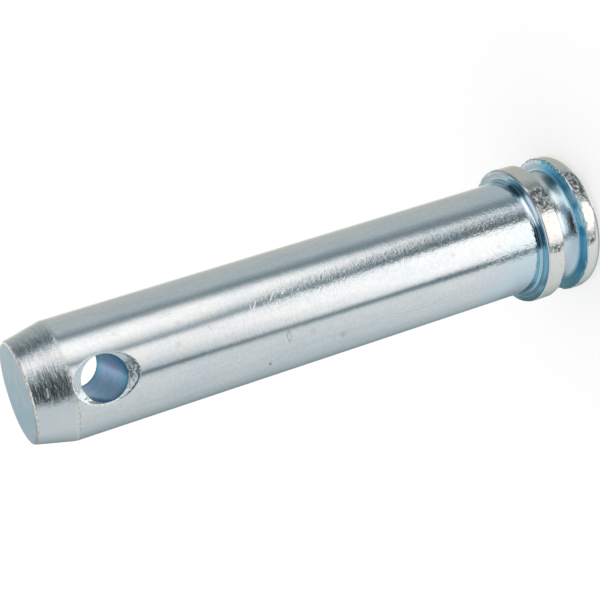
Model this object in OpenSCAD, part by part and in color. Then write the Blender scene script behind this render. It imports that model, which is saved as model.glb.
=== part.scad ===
// Hitch pin, turned from one steel bar and zinc plated.
// It stands on the flat end of its head, with its axis along Z and its tip up.
// The cross hole for the locking pin runs along Y, and its shallower countersink faces -Y.

/* [Shank] */
// Diameter of the shank, which carries the load
shank_d = 31.7; // [22:0.1:35]
// Length of the shank from the collar's seat to the tip
shank_l = 145; // [90:1:220]
// Fillet where the shank meets the collar's seat
root_r = 1; // [0.3:0.1:2]

/* [Tip] */
// Length of the lead-in taper
taper_l = 10.4; // [4:0.2:14]
// Slope of the taper, from the pin's axis, in degrees
taper_angle = 13; // [5:0.5:30]
// Rounding of the edge around the tip's flat face
tip_r = 0.8; // [0.2:0.1:2]

/* [Cross hole] */
// Diameter of the cross hole
hole_d = 12.2; // [6:0.1:14]
// Distance of the hole's axis from the tip
hole_from_tip = 18.8; // [16:0.2:40]
// Full angle of the countersinks at both mouths, in degrees
sink_angle = 118; // [60:1:130]
// Depth of the front countersink, below the shank's crest
front_sink = 1.5; // [1.3:0.1:4]
// Depth of the rear countersink, below the shank's crest
rear_sink = 2.5; // [1.3:0.1:4]

/* [Head] */
// Diameter of the collar that seats against the link
collar_d = 38.2; // [35:0.1:50]
// Thickness of the collar
collar_t = 5.5; // [2.5:0.1:12]
// Diameter of the end flange
flange_d = 38.2; // [34:0.1:50]
// Thickness of the end flange
flange_t = 5.5; // [4:0.1:12]
// Width of the keeper groove between the collar and the flange
groove_w = 7; // [3:0.1:14]
// Diameter of the neck at the bottom of the groove
neck_d = 28.7; // [14:0.1:34]

/* [Head edges] */
// Fillets at the bottom of the keeper groove
groove_r = 0.4; // [0.2:0.1:1.4]
// Rounding of the collar's two edges
collar_r = 0.5; // [0.2:0.1:1]
// Rounding of the flange's edge beside the groove
flange_front_r = 0.4; // [0.2:0.1:1]
// Rounding of the flange's outer edge, around the end face
flange_back_r = 3.2; // [0.5:0.1:3.5]

/* [Hidden] */

// How far a cutter runs past the surface that it opens
past = 1;
// Heights above the end face of the head
collar_z = flange_t + groove_w;
seat_z = collar_z + collar_t;
tip_z = seat_z + shank_l;
taper_z = tip_z - taper_l;
hole_z = tip_z - hole_from_tip;
// Radii
shank_rad = shank_d / 2;
neck_rad = neck_d / 2;
collar_rad = collar_d / 2;
flange_rad = flange_d / 2;
hole_rad = hole_d / 2;
// Radius at which the taper's line would meet the plane of the tip
tip_rad = shank_rad - taper_l * tan(taper_angle);
// Centre of the tip's rounding, which touches both the taper and the flat face
tip_round_x = tip_rad - tip_r * (1 - sin(taper_angle)) / cos(taper_angle);
tip_round_z = tip_z - tip_r;

// What lies between a square corner at the origin and the arc that touches both of its sides
module corner(r) {
    difference() {
        square(r);
        translate([r, r]) circle(r, $fn = 64);
    }
}

// A flat disc of the profile, from one height to another
module disc(radius, from_z, to_z) {
    translate([0, from_z]) square([radius, to_z - from_z]);
}

// End flange with both of its edges rounded
module flange_profile() {
    difference() {
        disc(flange_rad, 0, flange_t);
        translate([flange_rad, 0]) mirror([1, 0]) corner(flange_back_r);
        translate([flange_rad, flange_t]) mirror([1, 0]) mirror([0, 1]) corner(flange_front_r);
    }
}

// Neck at the bottom of the keeper groove, filleted into the flange and the collar
module neck_profile() {
    disc(neck_rad, flange_t, collar_z);
    translate([neck_rad, flange_t]) corner(groove_r);
    translate([neck_rad, collar_z]) mirror([0, 1]) corner(groove_r);
}

// Collar with both of its edges rounded
module collar_profile() {
    difference() {
        disc(collar_rad, collar_z, seat_z);
        translate([collar_rad, collar_z]) mirror([1, 0]) corner(collar_r);
        translate([collar_rad, seat_z]) mirror([1, 0]) mirror([0, 1]) corner(collar_r);
    }
}

// Shank with the fillet at its root
module shank_profile() {
    disc(shank_rad, seat_z, taper_z);
    translate([shank_rad, seat_z]) corner(root_r);
}

// Lead-in taper, which ends in a rounded edge and a flat face
module tip_profile() {
    polygon([
        [0, taper_z],
        [shank_rad, taper_z],
        [tip_round_x + tip_r * cos(taper_angle), tip_round_z + tip_r * sin(taper_angle)],
        [tip_round_x, tip_round_z],
        [tip_round_x, tip_z],
        [0, tip_z]
    ]);
    translate([tip_round_x, tip_round_z]) circle(tip_r, $fn = 64);
}

// One side of the countersunk hole: a drill-point cone that starts at the given depth below the crest
module countersink(depth) {
    reach = depth + past;
    translate([0, 0, shank_rad - depth])
        cylinder(h = reach, r1 = hole_rad, r2 = hole_rad + reach * tan(sink_angle / 2), $fn = 96);
}

// Cross hole for the locking pin, along Y, with a countersink at each mouth
module cross_hole() {
    translate([0, 0, hole_z]) rotate([90, 0, 0]) {
        cylinder(h = shank_d + 2 * past, r = hole_rad, center = true, $fn = 96);
        countersink(front_sink);
        mirror([0, 0, 1]) countersink(rear_sink);
    }
}

// The whole pin, which is one piece of steel
module hitch_pin() {
    color([0.74, 0.78, 0.80]) difference() {
        rotate_extrude($fn = 128) {
            flange_profile();
            neck_profile();
            collar_profile();
            shank_profile();
            tip_profile();
        }
        cross_hole();
    }
}

hitch_pin();
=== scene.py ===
# %% [markdown]
# # A zinc-plated hitch pin
# A hitch pin is a short steel axle that drops through the ears of a clevis. Its tapered tip finds the
# holes, its collar stops it, and a locking pin through the cross hole keeps it in. This lesson dresses a
# finished CAD model of one: it builds a fine mesh over the solid, gives it a bright zinc finish, and
# lights it in a white tent. Lengths are written in millimetres. Only the camera, the mesh's points and
# the floor are turned into metres, which are Blender's own unit.

import math

import bmesh
import bpy
from mathutils import Matrix, Vector, noise
from mathutils.geometry import delaunay_2d_cdt


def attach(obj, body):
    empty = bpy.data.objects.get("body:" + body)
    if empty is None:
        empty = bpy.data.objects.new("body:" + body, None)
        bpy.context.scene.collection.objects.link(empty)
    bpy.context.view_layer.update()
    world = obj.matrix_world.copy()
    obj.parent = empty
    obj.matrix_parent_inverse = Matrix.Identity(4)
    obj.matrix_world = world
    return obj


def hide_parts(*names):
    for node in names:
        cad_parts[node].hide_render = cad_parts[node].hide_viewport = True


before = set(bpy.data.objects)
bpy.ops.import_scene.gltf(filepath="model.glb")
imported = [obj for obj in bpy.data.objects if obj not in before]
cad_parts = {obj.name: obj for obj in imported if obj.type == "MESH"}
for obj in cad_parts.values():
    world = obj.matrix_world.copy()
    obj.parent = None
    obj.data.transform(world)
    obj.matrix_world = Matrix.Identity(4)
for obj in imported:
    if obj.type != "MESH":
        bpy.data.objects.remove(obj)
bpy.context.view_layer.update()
MM = 0.001

# %% [markdown]
# ## The camera comes first
# The pin stands on its head, but it is pictured lying across the frame, tip towards the viewer. Rolling
# the camera does that without laying the pin down. Two directions say where the camera's right and back
# point, and its up is square to both. The three become the columns of its rotation. The lens is a short
# telephoto, which is what keeps the shank from tapering much.

# %% Camera
camera_right = Vector((-0.22777, -0.39582, -0.88963)).normalized()
camera_back = Vector((0.18764, -0.91436, 0.35879)).normalized()
camera_up = camera_back.cross(camera_right)
camera_place = Vector((85.47, -412.12, 245.58)) * MM
focal_length = 101.96
sensor_width = 36.0

camera_data = bpy.data.cameras.new("camera")
camera_data.lens = focal_length
camera_data.sensor_width = sensor_width
camera = bpy.data.objects.new("camera", camera_data)
camera.matrix_world = Matrix((
    (camera_right.x, camera_up.x, camera_back.x, camera_place.x),
    (camera_right.y, camera_up.y, camera_back.y, camera_place.y),
    (camera_right.z, camera_up.z, camera_back.z, camera_place.z),
    (0, 0, 0, 1),
))
bpy.context.scene.collection.objects.link(camera)
bpy.context.scene.camera = camera
print("camera is", round(camera_place.length / MM), "mm from the foot of the pin")

# %% [markdown]
# ## The sizes of the pin
# These are the CAD model's own sizes, repeated so that the fine mesh lies on the solid. Heights are
# counted from the flat end of the head, on which the pin stands.

# %% Sizes
shank_radius = 15.85
neck_radius = 14.35
head_radius = 19.1
flange_top = 5.5
collar_bottom = 12.5
seat_height = 18.0
taper_start = 152.6
tip_height = 163.0
taper_degrees = 13
taper_angle = math.radians(taper_degrees)
taper_slope = math.tan(taper_angle)
tip_rounding = 0.8
root_fillet = 1.0
collar_rounding = 0.5
flange_front_rounding = 0.4
flange_back_rounding = 3.2
hole_height = 144.2
hole_radius = 6.1
sink_degrees = 118
sink_slope = 1 / math.tan(math.radians(sink_degrees / 2))
front_sink = 1.5
rear_sink = 2.5
front_sink_level = shank_radius - front_sink
rear_sink_level = shank_radius - rear_sink

# %% [markdown]
# ## A profile to turn
# A turned part is a profile spun round an axis, so most of the work is drawing that profile well. Each
# point carries the name of the surface that starts at it. The edges are true arcs of a few steps, and a
# flat that meets an arc gets a point close beside it, which keeps smooth shading from bleeding across.
# The other points of a flat keep the faces of the mesh from growing long and thin.

# %% Profile helpers
def arc(centre_r, centre_z, radius, start, end, steps):
    """Points of an arc in the (radius, height) plane, with its angles in degrees."""
    turns = [math.radians(start + (end - start) * i / steps) for i in range(steps + 1)]
    return [(centre_r + radius * math.cos(a), centre_z + radius * math.sin(a)) for a in turns]


def between(first, last, pitch):
    """Evenly spaced values after first and before last, about pitch apart."""
    count = max(1, round(abs(last - first) / pitch))
    return [first + (last - first) * i / count for i in range(1, count)]


# %% The end flange
profile = []


def run(surface, points):
    """Adds points to the profile, and marks what starts at them as that surface."""
    for r, z in points:
        profile.append((r, z, surface))


support = 0.12
rim_pitch = 0.5
edge_steps = 5
blue_step = 3  # the step of an edge's arc from which the face's blue coat covers it
back_r = head_radius - flange_back_rounding
run("end_face", [(r, 0) for r in (2, 5, 8, 11, 13.5, back_r - support)])
run("flange_rim", arc(back_r, flange_back_rounding, flange_back_rounding, -90, 0, 14))
front_z = flange_top - flange_front_rounding
run("flange_rim", [(head_radius, z) for z in between(flange_back_rounding, front_z - support, rim_pitch)])
run("flange_rim", [(head_radius, front_z - support)])
front_edge = arc(head_radius - flange_front_rounding, front_z, flange_front_rounding, 0, 90, edge_steps)
run("flange_rim", front_edge[:blue_step])
run("flange_front", front_edge[blue_step:])
run("flange_front", [(r, flange_top) for r in (18.5, 18.1, 17.6, 17.1, 16.7, 16.3)])
print("flange has", len(profile), "points")

# %% [markdown]
# The bottom of the groove isn't a plain cylinder. The parting tool left it dished, with its lowest point
# nearer to the collar, and each side is an arc that leans out at its own angle where it meets the wall.

# %% The dished neck
dish_middle = 9.3
flange_side_lean = math.radians(42)
collar_side_lean = math.radians(24)


def neck_r(z):
    """Radius of the dished neck at a height."""
    if z < dish_middle:
        curve = (dish_middle - flange_top) / math.sin(flange_side_lean)
    else:
        curve = (collar_bottom - dish_middle) / math.sin(collar_side_lean)
    return neck_radius + curve - math.sqrt(curve ** 2 - (z - dish_middle) ** 2)


neck_pitch = 0.35
run("neck", [(neck_r(z), z) for z in [flange_top] + between(flange_top, collar_bottom, neck_pitch)])
print("neck's radius runs from", neck_radius, "to", round(neck_r(flange_top), 2))

# %% The collar, and the root of the shank
collar_r = head_radius - collar_rounding
run("collar_back", [(neck_r(collar_bottom), collar_bottom)])
run("collar_back", [(r, collar_bottom) for r in (15.3, 16.2, 17.2, 18.0, collar_r - support)])
run("collar_rim", arc(collar_r, collar_bottom + collar_rounding, collar_rounding, -90, 0, edge_steps))
rim_low = collar_bottom + collar_rounding + support
rim_high = seat_height - collar_rounding - support
rim_heights = [rim_low] + between(rim_low, rim_high, rim_pitch) + [rim_high]
run("collar_rim", [(head_radius, z) for z in rim_heights])
seat_edge = arc(collar_r, seat_height - collar_rounding, collar_rounding, 0, 90, edge_steps)
run("collar_rim", seat_edge[:blue_step])
run("seat_face", seat_edge[blue_step:])
root_r = shank_radius + root_fillet
run("seat_face", [(r, seat_height) for r in (collar_r - support, 18.2, 17.8, 17.4, root_r + support)])
root_end = seat_height + root_fillet
run("root", arc(root_r, root_end, root_fillet, -90, -180, 7))

# %% [markdown]
# The shank is straight, so its rows of points can lie far apart. Round the cross hole they have to be
# close, because the mouths are cut into them. The corner between the shank and the taper is worn, so the
# two lines are joined by a short curve.

# %% The shank and the tip
plain_end = hole_height - 12.5
mouth_end = hole_height + 11.7
plain_pitch = 5
mouth_pitch = 0.4
taper_pitch = 0.6
corner_reach = 0.9


def bar_radius(z):
    """Radius of the shank or of the taper at a height, with the corner between them eased."""
    past = z - taper_start
    if past < -corner_reach:
        return shank_radius
    if past > corner_reach:
        return shank_radius - past * taper_slope
    return shank_radius - (past + corner_reach) ** 2 * taper_slope / (4 * corner_reach)


first_row, second_row = root_end + 0.15, root_end + 0.6
plain_heights = [first_row, second_row] + between(second_row, plain_end, plain_pitch)
run("shank", [(shank_radius, z) for z in plain_heights])
run("shank", [(bar_radius(z), z) for z in [plain_end] + between(plain_end, taper_start, mouth_pitch)])
taper_last = tip_height - tip_rounding + tip_rounding * math.sin(taper_angle)
tip_r = bar_radius(tip_height) - tip_rounding * (1 - math.sin(taper_angle)) / math.cos(taper_angle)
run("taper", [(bar_radius(z), z) for z in [taper_start] + between(taper_start, mouth_end, mouth_pitch)])
run("taper", [(bar_radius(z), z) for z in [mouth_end] + between(mouth_end, taper_last, taper_pitch)])
run("taper", [(bar_radius(taper_last - support), taper_last - support)])
run("tip_edge", arc(tip_r, tip_height - tip_rounding, tip_rounding, taper_degrees, 90, 7))
run("tip_face", [(r, tip_height) for r in (tip_r - support, 11, 9, 7, 5, 3, 1)])
print("profile has", len(profile), "points")

# %% [markdown]
# ## Edges that have been knocked about
# Plated pins are tumbled and shipped loose, so their outer edges are never crisp. Each knocked edge is
# described by its place in the profile and by how deep its dents go. A point near it is pushed inwards by
# a slow noise that runs round the pin, and only inwards, so the pin never grows past its true size.

# %% Dents along the edges
knocked_edges = [
    # radius, height, reach, depth inwards, depth along the axis, length of a dent
    (head_radius, flange_top, 1.3, 0.10, -0.55, 1.7),
    (head_radius, collar_bottom, 1.0, 0.08, 0.22, 3.2),
    (head_radius, seat_height, 0.9, 0.08, -0.10, 3.0),
    (bar_radius(tip_height), tip_height, 0.9, 0.08, -0.06, 1.8),
]
seed_gap = 17  # keeps the noise of one edge unlike that of the next


def dent(x, y, z, length, seed):
    """A noise from 0 to 1 that is low in most places, so that deep dents are few."""
    here = Vector((x, y, z * 0.4 + seed)) / length
    ripple = noise.noise(here) + 0.5 * noise.noise(here * 2.3)
    return min(1, max(0, 0.35 + 0.9 * ripple))


def knocked(x, y, z):
    """The place of a surface point after the dents."""
    r = math.hypot(x, y)
    if r < 1:
        return x, y, z
    inwards = along = 0
    for i, (edge_r, edge_z, reach, depth_r, depth_z, length) in enumerate(knocked_edges):
        away = math.hypot(r - edge_r, z - edge_z) / reach
        if away < 1:
            strength = (1 - away * away) ** 2 * dent(x, y, edge_z, length, seed_gap * i)
            inwards += depth_r * strength
            along += depth_z * strength
    shrink = (r - inwards) / r
    return x * shrink, y * shrink, z + along


# %% [markdown]
# ## The two mouths of the cross hole
# Where a drilled and countersunk hole breaks out of a round bar, its rim is a curve in space. Seen along
# the hole, each mouth is only a height map: at every spot the surface is either the bar or the cone of
# the countersink, whichever lies deeper. A smooth minimum of the two also rounds the rim a little, which
# a boolean cut would not do. A coarse noise on the cone stands for the drill's chatter and its burr.

# %% Surface of the bar and of the countersink, seen along the hole
rim_softness = 0.16
burr_height = 0.05
burr_size = 0.8
burr_fade = 0.8


def bar_level(x, z):
    """Distance of the bar's surface from the plane through its axis."""
    return math.sqrt(max(bar_radius(z) ** 2 - x * x, 0))


def cone_level(rho, sink_level):
    """The same distance for the countersink, at a radius from the hole's axis."""
    return sink_level + (rho - hole_radius) * sink_slope


def burr(x, z, rho):
    """What the drill's chatter adds to the cone. It dies out at the hole's wall."""
    here = Vector((x, z, 5)) / burr_size
    rough = noise.noise(here) + 0.5 * noise.noise(here * 2.1)
    return burr_height * rough * min(1, (rho - hole_radius) / burr_fade)


def mouth_level(x, z, sink_level):
    """The deeper of the two surfaces, with the rim between them rounded."""
    bar = bar_level(x, z)
    rho = math.hypot(x, z - hole_height)
    cone = cone_level(rho, sink_level) + burr(x, z, rho)
    share = min(1, max(0, 0.5 + 0.5 * (cone - bar) / rim_softness))
    return cone + (bar - cone) * share - rim_softness * share * (1 - share)


def rim_distance(turn, sink_level):
    """Radius from the hole's axis at which the cone meets the bar, in one direction."""
    low, high = hole_radius, 2.2 * hole_radius
    for _ in range(40):
        middle = (low + high) / 2
        x, z = middle * math.cos(turn), hole_height + middle * math.sin(turn)
        if cone_level(middle, sink_level) < bar_level(x, z):
            low = middle
        else:
            high = middle
    return low


# %% [markdown]
# ## Spinning the profile, and opening the mouths
# The profile is copied round the axis. Points that would lie inside a mouth are left out, and rings that
# follow the rim take their place. A thin lip of triangles joins the two, and rings of the hole's wall
# join one mouth to the other, so the pin stays one closed skin.

# %% Spin the profile
columns = 320
lip_width = 0.42
lip_gap = 0.14
keep_clear = lip_width + lip_gap
points, faces, surfaces = [], [], []


def add_point(x, y, z):
    points.append((x, y, z))
    return len(points) - 1


def add_face(corners, surface):
    faces.append(tuple(corners))
    surfaces.append(surface)


def in_mouth(x, y, z):
    """Whether this point of the bar lies inside one of the two mouths, or close to its rim."""
    rho = math.hypot(x, z - hole_height)
    if rho > 2 * hole_radius:
        return False
    level = rear_sink_level if y > 0 else front_sink_level
    turn = math.atan2(z - hole_height, x)
    return rho < rim_distance(turn, level) + keep_clear


grid = []
for r, z, surface in profile:
    ring = []
    for c in range(columns):
        turn = 2 * math.pi * c / columns
        x, y = r * math.cos(turn), r * math.sin(turn)
        opened = surface in ("shank", "taper") and in_mouth(x, y, z)
        ring.append(None if opened else add_point(*knocked(x, y, z)))
    grid.append(ring)

loose_edges = {}
for row in range(len(profile) - 1):
    for c in range(columns):
        after = (c + 1) % columns
        corners = [grid[row][c], grid[row][after], grid[row + 1][after], grid[row + 1][c]]
        if None not in corners:
            add_face(corners, profile[row][2])
            continue
        # what is left of a broken cell still borders whole cells, and those borders are kept
        for a, b in zip(corners, corners[1:] + corners[:1]):
            if a is not None and b is not None:
                key = (min(a, b), max(a, b))
                loose_edges[key] = loose_edges.get(key, 0) + 1
border = [edge for edge, times in loose_edges.items() if times == 1]

for row, height in ((0, 0.0), (-1, tip_height)):
    centre = add_point(0, 0, height)
    for c in range(columns):
        pair = [grid[row][c], grid[row][(c + 1) % columns]]
        add_face((pair if row else pair[::-1]) + [centre], profile[row][2])
print("spun mesh has", len(points), "points, and the mouths' borders", len(border), "edges")

# %% Rings of the countersinks, and the lips of triangles round them
around = 240
hole_turns = [2 * math.pi * i / around for i in range(around)]
cone_shares = (0, 0.03, 0.1, 0.22, 0.34, 0.46, 0.58, 0.7, 0.82, 0.91, 1.0)
lip_steps = (0.06, 0.13, 0.22, 0.32, lip_width)


def ring_faces(inner, outer, surface):
    for i in range(around):
        j = (i + 1) % around
        add_face((inner[i], inner[j], outer[j], outer[i]), surface)


def open_mouth(side, sink_level):
    """Builds the rings of one mouth and joins them to the bar. Returns the ring at the hole's wall."""
    rims = [rim_distance(turn, sink_level) for turn in hole_turns]
    radii = [[hole_radius + (rim - hole_radius) * s for rim in rims] for s in cone_shares]
    radii += [[rim + step for rim in rims] for step in lip_steps]
    rings = []
    for ring in radii:
        row = []
        for rho, turn in zip(ring, hole_turns):
            x, z = rho * math.cos(turn), hole_height + rho * math.sin(turn)
            row.append(add_point(x, side * mouth_level(x, z, sink_level), z))
        rings.append(row)
    for inner, outer in zip(rings, rings[1:]):
        ring_faces(inner, outer, "countersink")

    edges = [(a, b) for a, b in border if points[a][1] * side > 0]
    outer = rings[-1]
    used = sorted({i for edge in edges for i in edge}) + outer
    place = {index: k for k, index in enumerate(used)}
    flat = [Vector((points[i][0], points[i][2])) for i in used]
    fences = [(place[a], place[b]) for a, b in edges]
    fences += [(place[outer[i]], place[outer[(i + 1) % around]]) for i in range(around)]
    _, _, triangles, origins, _, _ = delaunay_2d_cdt(flat, fences, [], 1, 1e-6)
    ring_points = set(outer)
    made = 0
    for triangle in triangles:
        corners = [used[origins[k][0]] for k in triangle]
        # the rim is convex, so a triangle with all its corners on the ring lies inside the mouth
        if not ring_points.issuperset(corners):
            height = sum(points[i][2] for i in corners) / 3
            add_face(corners, "taper" if height > taper_start else "shank")
            made += 1
    print("mouth", side, "has", len(edges), "border edges and", made, "triangles")
    return rings[0]


front_ring = open_mouth(-1, front_sink_level)
rear_ring = open_mouth(1, rear_sink_level)

# %% The hole's wall, from the front mouth to the rear one
first_step, second_step, wall_pitch = 0.06, 0.2, 0.8
wall_low, wall_high = second_step - front_sink_level, rear_sink_level - second_step
wall_levels = [first_step - front_sink_level, wall_low] + between(wall_low, wall_high, wall_pitch)
wall_levels += [wall_high, rear_sink_level - first_step]
last_ring = front_ring
for level in wall_levels:
    ring = [add_point(hole_radius * math.cos(t), level, hole_height + hole_radius * math.sin(t))
            for t in hole_turns]
    ring_faces(last_ring, ring, "hole_wall")
    last_ring = ring
ring_faces(last_ring, rear_ring, "hole_wall")
print("whole pin has", len(points), "points and", len(faces), "faces")

# %% [markdown]
# ## From lists to a mesh
# The lists become one mesh. Its faces were added in whatever order was handy, so their normals are turned
# outwards together. A closed skin has two faces at every edge, and a count of zero below proves it. The
# mesh then rides on the pin's body and takes the place of its plain CAD solid.

# %% Make the mesh object
mesh = bpy.data.meshes.new("pin_body")
mesh.from_pydata([(x * MM, y * MM, z * MM) for x, y, z in points], [], faces)
pin = bpy.data.objects.new("pin_body", mesh)
bpy.context.scene.collection.objects.link(pin)

skin = bmesh.new()
skin.from_mesh(mesh)
bmesh.ops.recalc_face_normals(skin, faces=skin.faces)
open_edges = sum(1 for edge in skin.edges if len(edge.link_faces) != 2)
print("edges that are not shared by two faces:", open_edges)
print("volume in cubic centimetres:", round(skin.calc_volume() / MM ** 3 / 1000, 2))
print("triangles:", sum(len(face.verts) - 2 for face in skin.faces))
skin.to_mesh(mesh)
skin.free()
mesh.shade_smooth()

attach(pin, "root")
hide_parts("hitch_pin")

# %% [markdown]
# ## Zinc, one effect at a time
# Bright zinc is a thin coat of metal, so it shows all that lies under it: the lathe's rings, the grain of
# the steel, dents and scratches. On top come the faint blue of the passivation bath and the stains of
# storage. Each such effect is made once, as a node group that takes a position in millimetres and gives
# back a height in millimetres or a mask. Noise in the object's own space needs no unwrapping.

# %% Helpers for wiring nodes
def put(tree, kind, fill=None, **fields):
    """Adds a node, sets its fields, and fills its inputs with values or links them to sockets."""
    made = tree.nodes.new(kind)
    for name, value in fields.items():
        setattr(made, name, value)
    for name, value in (fill or {}).items():
        if isinstance(value, bpy.types.NodeSocket):
            tree.links.new(value, made.inputs[name])
        else:
            made.inputs[name].default_value = value
    return made


def maths(tree, operation, *terms, clamp=False):
    """A Math node. Returns its result."""
    made = put(tree, "ShaderNodeMath", dict(enumerate(terms)), operation=operation, use_clamp=clamp)
    return made.outputs[0]


def vectors(tree, operation, *terms, result="Vector"):
    """A Vector Math node. Returns its result, or its Value for a length or a dot product."""
    made = put(tree, "ShaderNodeVectorMath", dict(enumerate(terms)), operation=operation)
    return made.outputs[result]


def scaled(tree, vector, factor):
    """A vector or a colour times a number."""
    return put(tree, "ShaderNodeVectorMath", {0: vector, "Scale": factor}, operation="SCALE").outputs[0]


def remap(tree, value, low, high, start=0.0, end=1.0, smooth=True):
    """Stretches a value from the range low to high onto start to end."""
    kind = "SMOOTHSTEP" if smooth else "LINEAR"
    made = put(tree, "ShaderNodeMapRange", {"Value": value, "From Min": low, "From Max": high,
                                            "To Min": start, "To Max": end}, interpolation_type=kind)
    return made.outputs["Result"]


def noise_at(tree, place, size, detail=2.0, roughness=0.5):
    """A noise from 0 to 1 whose features are about size across. The size is a socket of the group."""
    spread = put(tree, "ShaderNodeCombineXYZ", {0: size, 1: size, 2: size}).outputs[0]
    made = put(tree, "ShaderNodeTexNoise", {"Vector": vectors(tree, "DIVIDE", place, spread), "Scale": 1.0,
                                            "Detail": detail, "Roughness": roughness})
    return made.outputs["Fac"]


def patchy(tree, place, size, threshold, softness):
    """A mask that is 1 where a noise lies above the threshold."""
    spread = noise_at(tree, place, size, detail=3.0, roughness=0.55)
    upper = maths(tree, "ADD", threshold, softness)
    lower = maths(tree, "SUBTRACT", threshold, softness)
    return remap(tree, spread, lower, upper)


# %% Helpers for making an effect and for using it
def start_effect(name, takes, gives):
    """Starts a node group with named inputs and one output. Returns its tree, inputs and output."""
    tree = bpy.data.node_groups.new(name, "ShaderNodeTree")
    for label, value in takes.items():
        kind = "NodeSocketVector" if isinstance(value, tuple) else "NodeSocketFloat"
        tree.interface.new_socket(label, in_out="INPUT", socket_type=kind).default_value = value
    tree.interface.new_socket(gives, in_out="OUTPUT", socket_type="NodeSocketFloat")
    return tree, tree.nodes.new("NodeGroupInput").outputs, tree.nodes.new("NodeGroupOutput").inputs[gives]


def use(tree, effect, **fill):
    """Places an effect in a material. Returns its output."""
    made = tree.nodes.new("ShaderNodeGroup")
    made.node_tree = effect
    for name, value in fill.items():
        socket = made.inputs[name.capitalize()]
        if isinstance(value, bpy.types.NodeSocket):
            tree.links.new(value, socket)
        else:
            socket.default_value = value
    return made.outputs[0]


# %% Effect: the grain of the plating
plating_grain, given, height = start_effect(
    "plating_grain", {"Position": (0, 0, 0), "Size": 0.5, "Depth": 0.01}, "Height")
grains = noise_at(plating_grain, given["Position"], given["Size"], detail=2.0, roughness=0.6)
centred = maths(plating_grain, "SUBTRACT", grains, 0.5)
plating_grain.links.new(maths(plating_grain, "MULTIPLY", centred, given["Depth"]), height)

# %% [markdown]
# Tool marks run round the pin. A four-dimensional noise makes them: its fourth axis is the coordinate
# that crosses the marks and is squeezed to their pitch, while the three others are stretched to their
# length. The same effect gives rings on a shank, on a faced end and in a drilled hole, since only the
# crossing coordinate changes.

# %% Effect: tool marks
tool_marks, given, height = start_effect(
    "tool_marks", {"Position": (0, 0, 0), "Across": 0.0, "Pitch": 0.3, "Length": 5.0, "Depth": 0.01},
    "Height")
along = put(tool_marks, "ShaderNodeCombineXYZ", {axis: given["Length"] for axis in range(3)})
slow = vectors(tool_marks, "DIVIDE", given["Position"], along.outputs[0])
quick = maths(tool_marks, "DIVIDE", given["Across"], given["Pitch"])
marks = put(tool_marks, "ShaderNodeTexNoise", {"Vector": slow, "W": quick, "Scale": 1.0, "Detail": 2.0,
                                               "Roughness": 0.6}, noise_dimensions="4D")
centred = maths(tool_marks, "SUBTRACT", marks.outputs["Fac"], 0.5)
tool_marks.links.new(maths(tool_marks, "MULTIPLY", centred, given["Depth"]), height)

# %% [markdown]
# Marks come in three kinds. Stains, blooms and dull spots are round, with an edge that a noise breaks up.
# Scratches are straight. Patches have no shape of their own and cover a share of the surface.

# %% Effect: a round mark with a broken edge
round_mark, given, mask = start_effect(
    "round_mark", {"Position": (0, 0, 0), "Centre": (0, 0, 0), "Radius": 1.0, "Softness": 0.3,
                   "Breakup": 0.5, "Grain": 0.5}, "Mask")
away = vectors(round_mark, "DISTANCE", given["Position"], given["Centre"], result="Value")
raggedness = noise_at(round_mark, given["Position"], given["Grain"], detail=1.0)
ragged = maths(round_mark, "MULTIPLY", maths(round_mark, "SUBTRACT", raggedness, 0.5), given["Breakup"])
away = maths(round_mark, "ADD", away, ragged)
outer = maths(round_mark, "ADD", given["Radius"], given["Softness"])
inner = maths(round_mark, "SUBTRACT", given["Radius"], given["Softness"])
round_mark.links.new(remap(round_mark, away, outer, inner), mask)

# %% Effect: a straight scratch between two points
scratch, given, mask = start_effect(
    "scratch", {"Position": (0, 0, 0), "Start": (0, 0, 0), "End": (0, 0, 1), "Width": 0.2}, "Mask")
length = vectors(scratch, "SUBTRACT", given["End"], given["Start"])
offset = vectors(scratch, "SUBTRACT", given["Position"], given["Start"])
travel = maths(scratch, "DIVIDE", vectors(scratch, "DOT_PRODUCT", offset, length, result="Value"),
               vectors(scratch, "DOT_PRODUCT", length, length, result="Value"), clamp=True)
foot = scaled(scratch, length, travel)
beside = vectors(scratch, "DISTANCE", offset, foot, result="Value")
scratch.links.new(remap(scratch, beside, given["Width"], 0.0), mask)

# %% Effect: irregular patches that cover a share of the surface
patches, given, mask = start_effect(
    "patches", {"Position": (0, 0, 0), "Size": 5.0, "Threshold": 0.55, "Softness": 0.1}, "Mask")
settings = ("Position", "Size", "Threshold", "Softness")
patches.links.new(patchy(patches, *[given[name] for name in settings]), mask)

# %% Effect: wear along a corner that runs round the pin
corner_wear, given, mask = start_effect(
    "corner_wear", {"Position": (0, 0, 0), "Corner": 0.0, "Reach": 1.0, "Full": 0.1, "Size": 1.0,
                    "Threshold": 0.48, "Softness": 0.1}, "Mask")
level = put(corner_wear, "ShaderNodeSeparateXYZ", {0: given["Position"]}).outputs["Z"]
away = maths(corner_wear, "ABSOLUTE", maths(corner_wear, "SUBTRACT", level, given["Corner"]))
band = remap(corner_wear, away, given["Reach"], given["Full"])
worn = patchy(corner_wear, *[given[name] for name in settings])
corner_wear.links.new(maths(corner_wear, "MULTIPLY", band, worn), mask)
print("effects:", [group.name for group in bpy.data.node_groups])

# %% [markdown]
# ## Helpers that every finish shares
# A finish starts with the position in millimetres and a metallic shader. Masks blend colours into its
# base, heights add up to one bump, and marks are placed by their height and their angle round the axis.
# Angles are counted in degrees from the X axis, and the camera looks from about -78. Single stains and
# scratches lie where the pictured pin has them, so its rear, which the picture doesn't show, has none.

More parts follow.
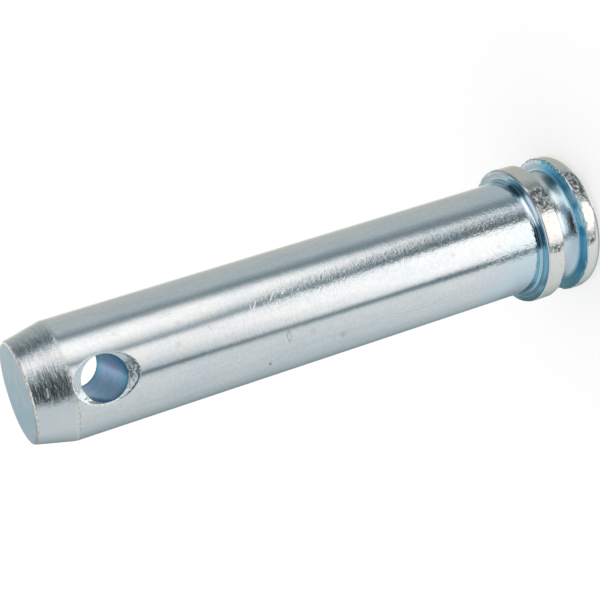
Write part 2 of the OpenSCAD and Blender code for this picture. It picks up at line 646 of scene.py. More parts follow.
# %% Colours that several finishes share
clean_zinc = (0.765, 0.79, 0.805, 1)
pale_blue_zinc = (0.66, 0.76, 0.84, 1)
brown_stain = (0.40, 0.27, 0.16, 1)
worn_white = (0.93, 0.92, 0.90, 1)
# white of bare metal in scratches and flecks, and of a painted highlight on the flange's rim
bare_metal_and_highlight_white = (1.0, 1.0, 1.0, 1)

# %% Finish helpers
def start_finish(name, roughness):
    """A metallic material. Returns its tree, its shader, and the position in millimetres."""
    material = bpy.data.materials.new(name)
    material.use_nodes = True
    tree = material.node_tree
    shader = tree.nodes["Principled BSDF"]
    shader.label = name
    shader.inputs["Metallic"].default_value = 1.0
    shader.inputs["Roughness"].default_value = roughness
    place = put(tree, "ShaderNodeTexCoord").outputs["Object"]
    return tree, shader, scaled(tree, place, 1 / MM)


def tint(tree, base, colour, mask, strength=1.0):
    """Blends a colour into a base by a mask."""
    share = mask if strength == 1.0 else maths(tree, "MULTIPLY", mask, strength)
    mix = put(tree, "ShaderNodeMix", {"Factor": share, "A": base, "B": colour}, data_type="RGBA")
    return mix.outputs["Result"]


def total(tree, values):
    """Adds several heights."""
    result = values[0]
    for value in values[1:]:
        result = maths(tree, "ADD", result, value)
    return result


def relief(tree, shader, heights):
    """Turns heights in millimetres into the shader's bump."""
    bump = put(tree, "ShaderNodeBump", {"Height": total(tree, heights), "Strength": 1.0, "Distance": MM})
    tree.links.new(bump.outputs["Normal"], shader.inputs["Normal"])


def paint(tree, shader, base):
    """Links the finished colour to the shader."""
    tree.links.new(base, shader.inputs["Base Color"])
    print(shader.label, "has", len(tree.nodes), "nodes")


def from_axis(tree, position):
    """Distance of a point from the pin's axis."""
    flat = vectors(tree, "MULTIPLY", position, (1, 1, 0))
    return vectors(tree, "LENGTH", flat, result="Value")


def spot_on(z, degrees, radius=shank_radius):
    """A point of the pin's side, by its height and its angle round the axis."""
    turn = math.radians(degrees)
    return (radius * math.cos(turn), radius * math.sin(turn), z)


def brown_corner(tree, position, base):
    """Specks of rust along the corner between shank and taper, on one side of the pin."""
    specks = use(tree, corner_wear, position=position, corner=taper_start, reach=0.38, full=0.12, size=0.8,
                 threshold=0.50, softness=0.08)
    rusty_side = use(tree, round_mark, position=position, centre=spot_on(taper_start, -140), radius=13.0,
                     softness=3.0, breakup=0.0)
    return tint(tree, base, brown_stain, maths(tree, "MULTIPLY", specks, rusty_side), 0.55)


# %% [markdown]
# ## The shank
# The shank is ground before plating, so it reflects clearly, but the zinc grew coarser towards the
# collar. There its grain breaks the dark reflections into speckles. The relief adds up a fine grain, lumps
# about a millimetre across, a slow waviness, and the rings that the grinding left.

# %% Turned shank: relief
tree, shader, position = start_finish("turned_shank", 0.09)
height_z = put(tree, "ShaderNodeSeparateXYZ", {0: position}).outputs["Z"]
near_head = use(tree, round_mark, position=position, centre=spot_on(22, -80), radius=16.0, softness=9.0,
                breakup=6.0, grain=4.0)
coarse_strip = use(tree, scratch, position=position, start=spot_on(30, -61), end=spot_on(96, -68),
                   width=9.0)
uneven = use(tree, patches, position=position, size=2.2, threshold=0.48, softness=0.12)
coarse = maths(tree, "MULTIPLY", maths(tree, "MAXIMUM", near_head, coarse_strip),
               remap(tree, uneven, 0.0, 1.0, 0.45, 1.0))
grain_depth = remap(tree, coarse, 0.0, 1.0, 0.004, 0.022)
lump_depth = maths(tree, "MULTIPLY", coarse, remap(tree, near_head, 0.0, 1.0, 0.045, 0.080))
relief(tree, shader, [
    use(tree, plating_grain, position=position, size=0.45, depth=grain_depth),
    use(tree, plating_grain, position=position, size=0.95, depth=lump_depth),
    use(tree, plating_grain, position=position, size=6.0, depth=0.03),
    use(tree, tool_marks, position=position, across=height_z, pitch=0.35, length=3.0, depth=0.008),
])

# %% [markdown]
# The coat's colour changes slowly over the shank, in clouds of pale blue and in long streaks. A fine
# mottle makes it a little lighter here and darker there. The grain itself is real, but its dark specks are
# painted only inside the two dark lines that the shank mirrors from gaps in the tent: painted shade.

# %% Turned shank: clouds, streaks, mottle, and grain painted dark in the reflected lines
streak_grey = (0.62, 0.69, 0.74, 1)
grain_and_reflection_shade = (0.32, 0.38, 0.43, 1)
cloud = use(tree, patches, position=position, size=9.0, threshold=0.52, softness=0.16)
base = tint(tree, clean_zinc, pale_blue_zinc, cloud, 0.3)
stretched = vectors(tree, "MULTIPLY", position, (1, 1, 0.14))
streaks = use(tree, patches, position=stretched, size=2.4, threshold=0.53, softness=0.10)
base = tint(tree, base, streak_grey, streaks, 0.3)
mottle = use(tree, patches, position=position, size=0.9, threshold=0.50, softness=0.14)
base = scaled(tree, base, remap(tree, mottle, 0.0, 1.0, 1.03, 0.97))
# painted shade: the grain is darkened only along the two dark lines that the shank mirrors from the tent
dark_grain = use(tree, patches, position=position, size=0.8, threshold=0.54, softness=0.05)
in_gap_reflection = use(tree, scratch, position=position, start=spot_on(22, -57), end=spot_on(100, -66.5),
             width=4.2)
in_seam_reflection = use(tree, scratch, position=position, start=spot_on(20, -97.5), end=spot_on(52, -97.5),
              width=2.6)
speckled_in_reflections = maths(tree, "MULTIPLY", dark_grain, maths(tree, "MAXIMUM", in_gap_reflection, in_seam_reflection))
base = tint(tree, base, grain_and_reflection_shade, speckled_in_reflections, 0.42)

# %% [markdown]
# Next to the collar the shank mirrors the blue seat, so a painted reflection of it makes the coat bluer
# there on both sides of the shank. The left side is also darker, with painted shade of the collar. Left
# and right are as the camera would see them with the pin upright.

# %% Turned shank: painted reflection of the blue seat, and painted shade, next to the collar
seat_reflection_blue = (0.63, 0.77, 0.86, 1)
painted_collar_shade = (0.40, 0.50, 0.55, 1)
# painted reflection of the blue seat, on the left
left_seat_reflection = use(tree, round_mark, position=position, centre=spot_on(20, -148, 15), radius=15.0,
                 softness=9.0, breakup=3.0, grain=5.0)
base = tint(tree, base, seat_reflection_blue, left_seat_reflection, 0.9)
# painted shade of the collar
collar_shade = use(tree, round_mark, position=position, centre=spot_on(22, -168, 14.5), radius=8.5,
                   softness=4.5, breakup=2.0, grain=4.0)
base = tint(tree, base, painted_collar_shade, collar_shade, 0.9)
# painted reflection of the blue seat, on the right
right_seat_reflection = use(tree, round_mark, position=position, centre=spot_on(19, -22, 15), radius=9.0,
                  softness=8.0, breakup=3.0, grain=5.0)
base = tint(tree, base, pale_blue_zinc, right_seat_reflection, 0.8)

# %% [markdown]
# Small brown stains come from storage, where drops dried on the coat. Each is a round mark. One is a ring,
# as a drop leaves that dries from its middle, and it is made from a mark with a smaller mark taken out.

# %% Turned shank: stains
dark_stain = (0.12, 0.11, 0.11, 1)
stains = [
    # height, angle, radius, softness, breakup, colour, strength
    (100.6, -130.3, 0.40, 0.25, 0.8, dark_stain, 0.70),
    (79.6, -122.3, 0.95, 0.50, 2.0, brown_stain, 0.32),
    (88.3, -107.5, 0.70, 0.50, 2.4, brown_stain, 0.20),
    (124.3, -79.7, 0.60, 0.60, 1.3, brown_stain, 0.24),
    (115.1, -74.7, 0.55, 0.40, 2.2, brown_stain, 0.28),
    (54.6, -54.8, 0.55, 0.40, 2.0, brown_stain, 0.24),
    (71.3, -53.3, 0.55, 0.40, 2.0, brown_stain, 0.20),
    (44.6, -78.5, 0.55, 0.40, 2.0, brown_stain, 0.18),
    (30.8, -84.6, 0.60, 0.50, 2.4, brown_stain, 0.18),
    (38.1, -58.0, 0.50, 0.40, 2.0, brown_stain, 0.24),
    (49.8, -72.1, 0.50, 0.40, 2.0, brown_stain, 0.16),
    (64.5, -73.7, 0.45, 0.35, 1.8, brown_stain, 0.16),
    (122.6, -60.9, 0.50, 0.55, 1.3, brown_stain, 0.22),
    (138.7, -53.2, 0.50, 0.40, 2.0, brown_stain, 0.22),
    (133.3, -99.8, 0.60, 0.45, 2.4, brown_stain, 0.14),
    (36.8, -8.6, 0.60, 0.45, 2.4, brown_stain, 0.18),
]
for z, degrees, radius, softness, breakup, colour, strength in stains:
    stain = use(tree, round_mark, position=position, centre=spot_on(z, degrees), radius=radius,
                softness=softness, breakup=breakup, grain=0.5)
    base = tint(tree, base, colour, stain, strength)

ring_stretch = (1, 1, 2.4)
tall = vectors(tree, "MULTIPLY", position, ring_stretch)
ring_centre = tuple(Vector(spot_on(95.0, -105.4)) * Vector(ring_stretch))
ring_outside = use(tree, round_mark, position=tall, centre=ring_centre, radius=1.60, softness=0.35,
                   breakup=1.6, grain=0.8)
ring_inside = use(tree, round_mark, position=tall, centre=ring_centre, radius=0.95, softness=0.35,
                  breakup=1.0, grain=0.6)
ring_mask = maths(tree, "SUBTRACT", ring_outside, ring_inside, clamp=True)
base = tint(tree, base, brown_stain, ring_mask, 0.5)
base = brown_corner(tree, position, base)
print("stains on the shank:", len(stains) + 1)

# %% [markdown]
# Scratches cut through the blue to bright metal. They are also rougher, so the roughness uses the same
# mask again. A long brown arc, as a dragged wire leaves it, is a chain of short scratches.

# %% Turned shank: scratches
arc_brown = (0.45, 0.40, 0.40, 1)
bright_scratches = [
    # start height and angle, end height and angle, width
    (101.2, -63.3, 103.2, -73.4, 0.36),
    (103.0, -64.7, 103.3, -69.3, 0.24),
    (96.2, -61.9, 97.4, -66.6, 0.36),
    (91.8, -58.2, 93.1, -60.6, 0.30),
    (93.1, -60.6, 93.9, -64.2, 0.34),
    (92.6, -62.1, 93.8, -65.0, 0.24),
    (126.2, -51.5, 123.0, -50.0, 0.22),
    (125.4, -48.6, 122.8, -48.0, 0.16),
]
scratch_mask = None
for z_a, degrees_a, z_b, degrees_b, width in bright_scratches:
    one = use(tree, scratch, position=position, start=spot_on(z_a, degrees_a), end=spot_on(z_b, degrees_b),
              width=width)
    scratch_mask = one if scratch_mask is None else maths(tree, "MAXIMUM", scratch_mask, one)
base = tint(tree, base, bare_metal_and_highlight_white, scratch_mask, 0.95)
brown_arc = [(64.8, -117.6), (60.0, -121.0), (55.9, -122.0), (52.5, -121.2), (49.8, -118.9)]
for (z_a, degrees_a), (z_b, degrees_b) in zip(brown_arc, brown_arc[1:]):
    one = use(tree, scratch, position=position, start=spot_on(z_a, degrees_a), end=spot_on(z_b, degrees_b),
              width=0.28)
    base = tint(tree, base, arc_brown, one, 0.28)
paint(tree, shader, base)

# %% Turned shank: roughness
rubbed = use(tree, corner_wear, position=position, corner=taper_start, reach=0.9, full=0.1, size=1.0,
             threshold=0.48, softness=0.10)
roughness = total(tree, [
    remap(tree, cloud, 0.0, 1.0, 0.06, 0.085),
    maths(tree, "MULTIPLY", scratch_mask, 0.5),
    maths(tree, "MULTIPLY", rubbed, 0.22),
])
tree.links.new(roughness, shader.inputs["Roughness"])

# %% [markdown]
# ## The taper
# The taper was turned and never ground. Its tool marks are deep enough to smear the reflections along the
# pin, and the zinc on it is patchy. Dark streaks follow the marks, and the corner towards the shank is
# rubbed pale. A single nick lies along the tool marks. Where the taper mirrors the dark opening in the
# tent, the streaks are painted darker, as a painted reflection.

# %% Turned taper: relief, clouds, streaks, and a painted dark reflection
streak_shade = (0.40, 0.43, 0.46, 1)
dark_reflection_shade = (0.22, 0.25, 0.27, 1)
tree, shader, position = start_finish("turned_taper", 0.11)
height_z = put(tree, "ShaderNodeSeparateXYZ", {0: position}).outputs["Z"]
relief(tree, shader, [
    use(tree, tool_marks, position=position, across=height_z, pitch=0.55, length=3.2, depth=0.12),
    use(tree, plating_grain, position=position, size=0.5, depth=0.045),
])
cloud = use(tree, patches, position=position, size=3.0, threshold=0.5, softness=0.2)
base = tint(tree, clean_zinc, pale_blue_zinc, cloud, 0.3)
ringwise = vectors(tree, "MULTIPLY", position, (1, 1, 6))
dark_streaks = use(tree, patches, position=ringwise, size=3.2, threshold=0.52, softness=0.06)
streaked_side = use(tree, round_mark, position=position, centre=spot_on(157.5, -30, 14), radius=15.2,
                    softness=1.4, breakup=1.0, grain=1.5)
base = tint(tree, base, streak_shade, maths(tree, "MULTIPLY", dark_streaks, streaked_side), 0.3)
base = brown_corner(tree, position, base)
# painted reflection: the streaks are darkened where the taper mirrors the tent's dark opening
dark_reflection_spot = use(tree, round_mark, position=position, centre=spot_on(158, -80, 14.6), radius=4.6,
                   softness=1.6, breakup=2.0, grain=1.5)
base = tint(tree, base, dark_reflection_shade, maths(tree, "MULTIPLY", dark_streaks, dark_reflection_spot), 0.6)

# %% Turned taper: the rubbed corner, the nick, and the roughness
rubbed = use(tree, corner_wear, position=position, corner=taper_start, reach=1.3, full=0.2, size=1.0,
             threshold=0.48, softness=0.10)
base = tint(tree, base, worn_white, rubbed, 0.7)
nick = use(tree, scratch, position=position, start=spot_on(158.8, -83.0, 14.45),
           end=spot_on(158.9, -91.0, 14.45), width=0.5)
base = tint(tree, base, worn_white, nick, 0.9)
paint(tree, shader, base)
dull = maths(tree, "MULTIPLY", maths(tree, "MAXIMUM", rubbed, nick), 0.32)
tree.links.new(total(tree, [remap(tree, cloud, 0.0, 1.0, 0.09, 0.15), dull]), shader.inputs["Roughness"])

# %% [markdown]
# ## The tip's face, its edge and the end face
# The ends are faced: their tool marks are rings, and the zinc on them is duller and bluer. The edge round
# the tip is what hits first, so its coat is rubbed pale, with specks of brown where it has gone.

# %% Faced ends
face_blue = (0.53, 0.72, 0.84, 1)
face_pale = (0.66, 0.78, 0.86, 1)
tree, shader, position = start_finish("faced_end", 0.34)
relief(tree, shader, [
    use(tree, tool_marks, position=position, across=from_axis(tree, position), pitch=0.6, length=12.0,
        depth=0.012),
    use(tree, plating_grain, position=position, size=1.1, depth=0.012),
])
cloud = use(tree, patches, position=position, size=4.0, threshold=0.5, softness=0.2)
paint(tree, shader, tint(tree, face_blue, face_pale, cloud))

# %% Worn edge round the tip
worn_grey = (0.76, 0.75, 0.73, 1)
tree, shader, position = start_finish("worn_edge", 0.3)
relief(tree, shader, [use(tree, plating_grain, position=position, size=0.6, depth=0.05)])
flecks = use(tree, patches, position=position, size=0.7, threshold=0.55, softness=0.05)
rubbed = use(tree, patches, position=position, size=1.6, threshold=0.5, softness=0.1)
base = tint(tree, worn_grey, worn_white, rubbed)
base = tint(tree, base, brown_stain, flecks, 0.4)
paint(tree, shader, base)

# %% [markdown]
# ## The rims of the collar and the flange
# These are the bar's raw outside, which was never turned. It is lumpy and slightly beige. Where the rims
# mirror the dark lines between the tent's panels, grey and black patches are painted on as painted
# reflection. Their relief is rough, so they break reflections into loops and flecks. Beside the groove,
# a painted highlight runs along the flange's rim.

# %% Raw rim: relief
tree, shader, position = start_finish("raw_rim", 0.13)
# patches where the rims mirror the tent's dark lines: a rough relief, with painted reflection as colour
rough_reflection_patches = [
    # height, angle, radius, softness, breakup, grain
    (15.4, -55, 3.4, 0.9, 1.5, 1.2),
    (3.6, -51, 3.9, 0.8, 1.3, 1.2),
    (15.2, -99.5, 1.1, 0.5, 1.2, 0.8),
    (4.2, -101, 1.4, 0.6, 1.2, 0.8),
]
marks = None
for z, degrees, radius, softness, breakup, grain in rough_reflection_patches:
    one = use(tree, round_mark, position=position, centre=spot_on(z, degrees, head_radius), radius=radius,
              softness=softness, breakup=breakup, grain=grain)
    marks = one if marks is None else maths(tree, "MAXIMUM", marks, one)
rough_lumps = use(tree, plating_grain, position=position, size=1.1, depth=0.42)
relief(tree, shader, [
    use(tree, plating_grain, position=position, size=1.6, depth=0.07),
    maths(tree, "MULTIPLY", rough_lumps, marks),
    use(tree, plating_grain, position=position, size=0.45, depth=0.016),
])

# %% Raw rim: colour, painted reflections and a painted highlight
rim_zinc = (0.80, 0.80, 0.785, 1)
beige_zinc = (0.78, 0.74, 0.68, 1)
dark_reflection_grey = (0.42, 0.46, 0.48, 1)
dark_reflection_black = (0.08, 0.10, 0.12, 1)
beige_side = use(tree, round_mark, position=position, centre=spot_on(9, 2, head_radius), radius=15.0,
                 softness=6.0, breakup=3.0, grain=4.0)
base = tint(tree, rim_zinc, beige_zinc, beige_side, 0.8)
# painted reflection of the tent's dark lines, grey with black flecks
base = tint(tree, base, dark_reflection_grey, marks, 0.5)
dark_reflection_flecks = use(tree, patches, position=position, size=1.0, threshold=0.485, softness=0.06)
base = tint(tree, base, dark_reflection_black, maths(tree, "MULTIPLY", marks, dark_reflection_flecks), 0.85)
specks = use(tree, patches, position=position, size=0.8, threshold=0.68, softness=0.03)
base = tint(tree, base, brown_stain, specks, 0.5)
# painted highlight along the flange's rim, beside the groove
painted_edge_highlight = use(tree, scratch, position=position, start=spot_on(5.2, -56, head_radius),
            end=spot_on(5.2, -43, head_radius), width=0.45)
base = tint(tree, base, bare_metal_and_highlight_white, painted_edge_highlight)
paint(tree, shader, base)

# %% [markdown]
# ## Sheltered surfaces
# Inside the groove and in the corner under the collar nothing rubs the coat, so the passivation keeps its
# full blue. The faces there carry the rings of the parting tool in their relief. They also mirror each
# other and the tent, and most of the spots and rings of colour below are painted reflections: a pale one
# is a painted highlight where a face mirrors a bright part of the shank or the tent, and a dark one is
# painted shade where it mirrors a line between two panels of the tent.

# %% A helper for sheltered finishes
spot_squeeze = 3.5  # along the axis a spot is shorter than it is wide, by this factor


def sheltered(name, colour, across, pitch, depth, roughness, spots=(), rings=(), grain=0.008):
    """A coloured finish with tool marks across the radius or the height, and with spots and rings that are
    mostly painted reflections.
    """
    tree, shader, position = start_finish(name, roughness)
    radius_here = from_axis(tree, position)
    height_here = put(tree, "ShaderNodeSeparateXYZ", {0: position}).outputs["Z"]
    crossing = radius_here if across == "radius" else height_here
    relief(tree, shader, [
        use(tree, tool_marks, position=position, across=crossing, pitch=pitch, length=9.0, depth=depth),
        use(tree, plating_grain, position=position, size=0.6, depth=grain),
    ])
    cloud = use(tree, patches, position=position, size=2.5, threshold=0.5, softness=0.2)
    lighter = tuple(min(1, 0.85 * part + 0.12) for part in colour[:3]) + (1,)
    base = tint(tree, colour, lighter, cloud, 0.6)
    flattened = vectors(tree, "MULTIPLY", position, (1, 1, spot_squeeze))
    for r, z, degrees, size, spot_colour, strength in spots:
        centre = Vector(spot_on(z, degrees, r)) * Vector((1, 1, spot_squeeze))
        spot = use(tree, round_mark, position=flattened, centre=tuple(centre), radius=size,
                   softness=0.3 * size, breakup=1.0, grain=1.2)
        base = tint(tree, base, spot_colour, spot, strength)
    for ring_radius, width, ring_colour, strength in rings:
        away = maths(tree, "ABSOLUTE", maths(tree, "SUBTRACT", radius_here, ring_radius))
        base = tint(tree, base, ring_colour, remap(tree, away, width, 0.3 * width), strength)
    paint(tree, shader, base)


# %% Sheltered finishes: the two walls of the groove
deep_blue_zinc = (0.27, 0.69, 0.86, 1)
soft_blue_zinc = (0.52, 0.75, 0.86, 1)
# painted reflections on the flange's blue face: pale ones of the bright shank, dark ones of the tent's gaps
flange_spots = [
    # radius, height, angle, size, colour, strength
    (17.0, 5.5, 21, 9.2, (0.63, 0.72, 0.85, 1), 0.95),
    (17.0, 5.5, -28, 3.6, (0.20, 0.52, 0.74, 1), 0.7),
    (17.0, 5.5, -60, 2.1, (0.88, 1.0, 1.0, 1), 1.0),
    (17.0, 5.5, -81, 2.6, (0.80, 1.0, 1.0, 1), 1.0),
    (17.0, 5.5, -94, 1.6, (0.12, 0.46, 0.64, 1), 0.75),
    (17.0, 5.5, -144, 7.5, (0.18, 0.48, 0.64, 1), 0.9),
    (17.0, 5.5, -172, 7.5, (0.18, 0.37, 0.45, 1), 0.9),
]
# a pale ring by the neck is a painted highlight; a dark ring lies at the outer edge
flange_rings = [
    # radius, width, colour, strength
    (15.9, 0.25, (0.50, 0.75, 0.88, 1), 0.5),
    (18.95, 0.35, (0.16, 0.36, 0.46, 1), 0.6),
]
sheltered("flange_blue", deep_blue_zinc, across="radius", pitch=0.9, depth=0.014, roughness=0.30,
          spots=flange_spots, rings=flange_rings)
sheltered("collar_zinc", soft_blue_zinc, across="radius", pitch=0.9, depth=0.010, roughness=0.30)

# %% Sheltered finishes: the neck
neck_colour = (0.74, 0.78, 0.80, 1)
# spots of painted reflection and painted shade on the neck
neck_spots = [
    # radius, height, angle, size, colour, strength
    (15.0, 5.6, -60, 9.0, (0.50, 0.68, 0.76, 1), 0.8),
    (15.0, 7.7, -78, 4.6, (0.30, 0.46, 0.58, 1), 0.75),
    (15.0, 6.6, -34, 4.6, (0.26, 0.38, 0.46, 1), 0.9),
    (14.6, 8.0, -115, 9.0, (0.60, 0.72, 0.82, 1), 0.9),
    (14.6, 10.5, -18, 5.0, (0.74, 0.68, 0.62, 1), 0.8),
]
# a blue ring of painted shade where the neck meets the flange's face
neck_rings = [(15.8, 0.55, (0.19, 0.48, 0.66, 1), 0.85)]
sheltered("neck_zinc", neck_colour, across="height", pitch=0.45, depth=0.032, roughness=0.05,
          spots=neck_spots, rings=neck_rings, grain=0.05)

# %% Sheltered finishes: the seat and the root of the shank
seat_colour = (0.30, 0.60, 0.75, 1)
# painted reflections on the seat: pale of the bright shank, dark of the tent's gaps
seat_spots = [
    # radius, height, angle, size, colour, strength
    (17.9, 18.0, -168, 6.0, (0.14, 0.30, 0.36, 1), 0.85),
    (17.9, 18.0, 10, 8.0, (0.68, 0.75, 0.85, 1), 0.9),
    (17.6, 18.0, -59, 5.2, (0.64, 0.76, 0.92, 1), 0.95),
]
# rings of painted highlight and painted shade on the seat
seat_rings = [
    # radius, width, colour, strength
    (16.80, 0.20, (0.12, 0.24, 0.32, 1), 0.6),
    (17.45, 0.16, (0.86, 0.94, 1.0, 1), 0.4),
    (18.65, 0.30, (0.12, 0.24, 0.36, 1), 0.5),
]
sheltered("seat_blue", seat_colour, across="radius", pitch=0.40, depth=0.035, roughness=0.10,
          spots=seat_spots, rings=seat_rings)

root_colour = (0.45, 0.67, 0.80, 1)
# painted reflections on the root: two dark lines of the tent's gaps, and a bright panel between them
root_spots = [
    # radius, height, angle, size, colour, strength
    (16.2, 18.5, -87, 3.4, (0.05, 0.10, 0.16, 1), 0.95),
    (16.2, 18.5, -32, 3.4, (0.04, 0.09, 0.13, 1), 0.9),
    (16.2, 18.5, -59, 4.1, (0.95, 1.0, 1.0, 1), 0.95),
]
# a dark ring of painted shade at the root
root_rings = [(16.5, 0.26, (0.10, 0.24, 0.32, 1), 0.7)]
sheltered("root_zinc", root_colour, across="radius", pitch=0.40, depth=0.012, roughness=0.08,
          spots=root_spots, rings=root_rings)

# %% [markdown]
# ## The cross hole
# The drill left rings down the wall and a chattered cone at each mouth. The wall was never rubbed and
# holds the strongest colour of all, a blue that turns to violet. A metal whitens where it is seen at a
# slant, and a wall is always seen so. A blue Specular Tint keeps the colour there.

# %% Drilled wall
wall_blue = (0.15, 0.33, 0.50, 1)
wall_violet = (0.27, 0.32, 0.57, 1)
mouth_teal = (0.02, 0.22, 0.32, 1)
slant_tint = (0.70, 0.86, 0.94, 1)
tree, shader, position = start_finish("drilled_wall", 0.26)
depth_y = put(tree, "ShaderNodeSeparateXYZ", {0: position}).outputs["Y"]
relief(tree, shader, [
    use(tree, tool_marks, position=position, across=depth_y, pitch=1.6, length=16.0, depth=0.07),
    use(tree, plating_grain, position=position, size=1.0, depth=0.03),
])
shader.inputs["Specular Tint"].default_value = slant_tint
violet = use(tree, patches, position=position, size=3.5, threshold=0.5, softness=0.12)
base = tint(tree, wall_blue, wall_violet, violet)
near_mouth = remap(tree, maths(tree, "ABSOLUTE", depth_y), 9.5, 13.5)
base = tint(tree, base, mouth_teal, near_mouth, 0.95)
paint(tree, shader, base)

# %% Countersink
cone_zinc = (0.66, 0.74, 0.78, 1)
chatter_grey = (0.42, 0.48, 0.51, 1)
chatter_black = (0.10, 0.12, 0.13, 1)
chatter_place = (0.6, -13, hole_height - 8.6)
rubbed_place = (-8.5, -13, hole_height + 3)
tree, shader, position = start_finish("countersunk", 0.18)
chatter = use(tree, round_mark, position=position, centre=chatter_place, radius=3.6, softness=1.5,
              breakup=2.0, grain=1.0)
chatter_grain = use(tree, plating_grain, position=position, size=0.5, depth=0.24)
relief(tree, shader, [
    use(tree, plating_grain, position=position, size=0.6, depth=0.05),
    maths(tree, "MULTIPLY", chatter_grain, chatter),
])
base = tint(tree, cone_zinc, chatter_grey, chatter, 0.6)
dark_flecks = use(tree, patches, position=position, size=0.75, threshold=0.50, softness=0.05)
base = tint(tree, base, chatter_black, maths(tree, "MULTIPLY", chatter, dark_flecks), 0.9)
rubbed_side = use(tree, round_mark, position=position, centre=rubbed_place, radius=6.5, softness=1.5,
                  breakup=1.5, grain=1.0)
bright_flecks = use(tree, patches, position=position, size=0.8, threshold=0.48, softness=0.05)
base = tint(tree, base, bare_metal_and_highlight_white, maths(tree, "MULTIPLY", rubbed_side, bright_flecks), 0.9)
specks = use(tree, patches, position=position, size=0.8, threshold=0.62, softness=0.03)
base = tint(tree, base, brown_stain, maths(tree, "MULTIPLY", rubbed_side, specks), 0.6)
paint(tree, shader, base)

# %% [markdown]
# ## Dressing the mesh
# Every face of the mesh kept the name of its surface, so a table from surface to finish is all that the
# mesh needs.

# %% Give each surface of the pin its finish
finish_of = {
    "end_face": "faced_end", "flange_rim": "raw_rim", "flange_front": "flange_blue", "neck": "neck_zinc",
    "collar_back": "collar_zinc", "collar_rim": "raw_rim", "seat_face": "seat_blue", "root": "root_zinc",
    "shank": "turned_shank", "taper": "turned_taper", "tip_edge": "worn_edge", "tip_face": "faced_end",
    "hole_wall": "drilled_wall", "countersink": "countersunk",
}
finishes = sorted(set(finish_of.values()))
for name in finishes:
    mesh.materials.append(bpy.data.materials[name])
mesh.polygons.foreach_set("material_index", [finishes.index(finish_of[surface]) for surface in surfaces])
print("finishes:", finishes)

# %% [markdown]
# ## A light tent
# Polished metal has no look of its own: it shows the room. The room here is a white tent with a few gaps
# between its panels, which are what draws the dark lines along the shank. The tent is a world shader. Its
# panels are told apart by the compass direction round the pin, starting from the camera's side, with the
# right side counted as positive. They shift with height, so the lines drift as the shank does. Only glossy
# rays see the panels. All other rays see plain white, so the pin is lit evenly from all sides.

# %% World helpers
front = Vector((camera_back.x, camera_back.y, 0)).normalized()
beside_front = Vector((0, 0, 1)).cross(front)
world = bpy.data.worlds.new("light_tent")
bpy.context.scene.world = world
world.use_nodes = True
sky = world.node_tree
sky.nodes.clear()
gaze = put(sky, "ShaderNodeTexCoord").outputs["Generated"]
compass = maths(sky, "ARCTAN2", vectors(sky, "DOT_PRODUCT", gaze, tuple(beside_front), result="Value"),
                vectors(sky, "DOT_PRODUCT", gaze, tuple(front), result="Value"))
round_share = remap(sky, compass, -math.pi, math.pi, smooth=False)
white_panel = Vector((1.035, 1.0, 0.975))
dark_gap = Vector((0.815, 1.0, 1.06))
warm_wall = Vector((1.005, 1.0, 0.93))
gap_level = 0.3
warm_from, warm_to = 110, 150


def panel_colour(degrees, level):
    """White panels are a little warm, gaps are bluish, and the far end of the right wall is warm."""
    cool = min(1, max(0, (1.0 - level) / (1.0 - gap_level)))
    warm = min(1, max(0, (degrees - warm_from) / (warm_to - warm_from)))
    tone = white_panel.lerp(dark_gap, cool).lerp(warm_wall, warm)
    return (*(level * tone), 1)


def tent(panels):
    """A ring of panels, as levels at compass directions, 32 at most. Returns its colour."""
    ramp = put(sky, "ShaderNodeValToRGB", {"Fac": round_share})
    band = ramp.color_ramp
    band.elements.remove(band.elements[-1])
    for i, (degrees, level) in enumerate(panels):
        share = (degrees + 180) / 360
        stop = band.elements[0] if i == 0 else band.elements.new(share)
        stop.position = share
        stop.color = panel_colour(degrees, level)
    return ramp.outputs["Color"]


# %% [markdown]
# Each ring below holds the tent at one height, as a row of directions and levels of light, where 1 is
# white. The three lowest rings are what the shank mirrors, at the head, along its middle and at the tip.
# They have the same panels and gaps, which move and soften from ring to ring. The taper leans, so it
# mirrors a ring above the horizon. The seat and the flange's blue face look up, to the shelf and the roof.
# All levels are listed one by one. Those for the shank and the taper follow the measured brightness of the
# bands on the pictured pin, divided by that of plain zinc. The others were set by trial against it.

# %% The walls, and the rings that the shank mirrors
left_wall = [(-180, .36), (-170, .33), (-156, .37), (-133, .56), (-112, .71), (-54, .87)]
left_wall_above = [(degrees, 0.91 * level) for degrees, level in left_wall]
right_wall = [(92, .54), (136, .56), (148, .58), (154, .68), (166, .96), (178, 1.06)]
low_tent = tent(left_wall + [
    (-47, .78), (-44, .36), (-41, .25), (-38, .25),  # a seam
    (-35, .60), (-32, 1.00), (-27, 1.18), (-20, 1.27), (16, 1.28), (19, 1.16), (22, .74),  # front panel
    (25, .32), (28, .19), (35, .20), (41, .35),  # a wide gap
    (45, .50), (54, .86),  # a narrow panel
    (62, .42), (68, .28), (75, .31),  # the last gap
] + right_wall)
middle_tent = tent(left_wall_above + [
    (-46, .77), (-41, .41), (-37.5, .26),  # the seam
    (-34, .62), (-29, .98), (-16, 1.12), (-8, 1.21), (11, 1.22), (17, 1.02),  # front panel
    (20, .58), (23, .25), (27, .28),  # the wide gap, narrower here
    (33, .57), (39, .86), (48, 1.10), (54, 1.08), (60, .92),  # the narrow panel, wider here
    (65, .56), (70, .32), (76, .29),  # the last gap
] + right_wall)
high_tent = tent(left_wall_above + [
    (-46, .77), (-41, .67), (-37, .28), (-34, .23),  # the seam
    (-29, .60), (-22, .78), (-10, .95), (0, 1.05), (9, 1.06), (14, .82),  # front panel
    (18, .46), (21, .46),  # the gap
    (27, .74), (33, .99), (40, 1.14), (47, 1.22), (58, 1.17),  # second panel
    (65, .88), (71, .46), (77, .32),  # the last gap
] + right_wall)

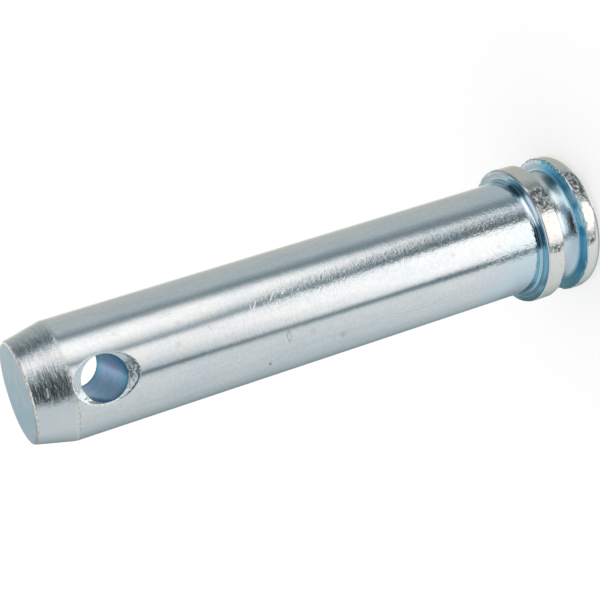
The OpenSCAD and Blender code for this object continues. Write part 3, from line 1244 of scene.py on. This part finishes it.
# %% The rings above the horizon
back_wall = [(-180, .45), (-165, .34), (-156, .38), (-108, .70)]
far_end = [(158, .76), (166, 1.0), (172, 1.08), (176, .55)]
top_tent = tent(back_wall + [
    (-48, .66), (-42, .60),
    (-37, .36), (-31, .15), (-24, .08), (-10, .09), (0, .16), (8, .32),  # a dark opening
    (16, .42), (24, .58), (32, .84), (40, 1.05), (48, 1.12), (56, .98), (64, .78), (71, .48),  # a panel
    (78, .24), (88, .14), (98, .18), (106, .28), (120, .36), (150, .50),  # a dark wall
] + far_end)
shelf_tent = tent(back_wall + [
    (-50, .68), (-44, .52), (-39, .16), (-34, .06), (10, .06), (15, .28),  # the dark opening
    (21, .92), (28, 1.12), (60, 1.14), (72, 1.0), (78, .40),  # the panel
    (84, .12), (94, .13), (104, .18), (114, .28), (122, .40), (136, .50), (150, .52),  # the dark wall
] + far_end)
roof_tent = tent(back_wall + [
    (-40, .80), (20, .85), (70, .70), (98, .40), (120, .40), (150, .50),
] + far_end)

# %% [markdown]
# The rings are stacked by the height of the gaze, each fading into the next between two angles. The stack
# then goes to glossy rays only, through the Light Path node.

# %% Stack the rings, and keep the panels for glossy rays
gaze_height = put(sky, "ShaderNodeSeparateXYZ", {0: gaze}).outputs["Z"]


def stacked(lower, upper, from_degrees, to_degrees):
    """Passes from one ring of panels to the next between two angles above the horizon."""
    low, high = math.sin(math.radians(from_degrees)), math.sin(math.radians(to_degrees))
    return tint(sky, lower, upper, remap(sky, gaze_height, low, high, smooth=False))


panels = stacked(low_tent, middle_tent, -27, -22)
panels = stacked(panels, high_tent, -22, -17)
panels = stacked(panels, top_tent, -12, 9)
panels = stacked(panels, shelf_tent, 20, 25)
panels = stacked(panels, roof_tent, 33, 40)
plain_white = (1, 1, 1, 1)
glossy = put(sky, "ShaderNodeLightPath").outputs["Is Glossy Ray"]
light = put(sky, "ShaderNodeBackground", {"Color": tint(sky, plain_white, panels, glossy)})
put(sky, "ShaderNodeOutputWorld", {"Surface": light.outputs[0]})
print("the tent has", len(sky.nodes), "nodes")

# %% [markdown]
# ## The floor
# The pin stands on a large white disc. The disc is hidden from glossy rays, because a mirror-like shank
# would otherwise show it instead of the tent. Its paper is grey, and a glow brings it up to the white of the
# tent. That keeps the shadow soft, and the pin gets about as much light from it as from plain white paper.

# %% Floor
floor_radius = 4.0  # in metres
floor_gap = 0.2 * MM
paper_grey = (0.5, 0.5, 0.5, 1)
paper_glow = 0.52
bpy.ops.mesh.primitive_circle_add(vertices=96, radius=floor_radius, fill_type="NGON",
                                  location=(0, 0, -floor_gap))
floor = bpy.context.object
floor.name = "floor"
paper = bpy.data.materials.new("white_floor")
paper.use_nodes = True
paper_shader = paper.node_tree.nodes["Principled BSDF"]
paper_shader.inputs["Base Color"].default_value = paper_grey
paper_shader.inputs["Roughness"].default_value = 0.9
paper_shader.inputs["Specular IOR Level"].default_value = 0.0
paper_shader.inputs["Emission Color"].default_value = plain_white
paper_shader.inputs["Emission Strength"].default_value = paper_glow
floor.data.materials.append(paper)
floor.visible_glossy = False
print("floor is", round(2 * floor_radius, 1), "m across")

# %% [markdown]
# ## The end
# The Standard view transform shows colours as they are written.

# %% Colour management, and the end
bpy.context.scene.view_settings.view_transform = "Standard"
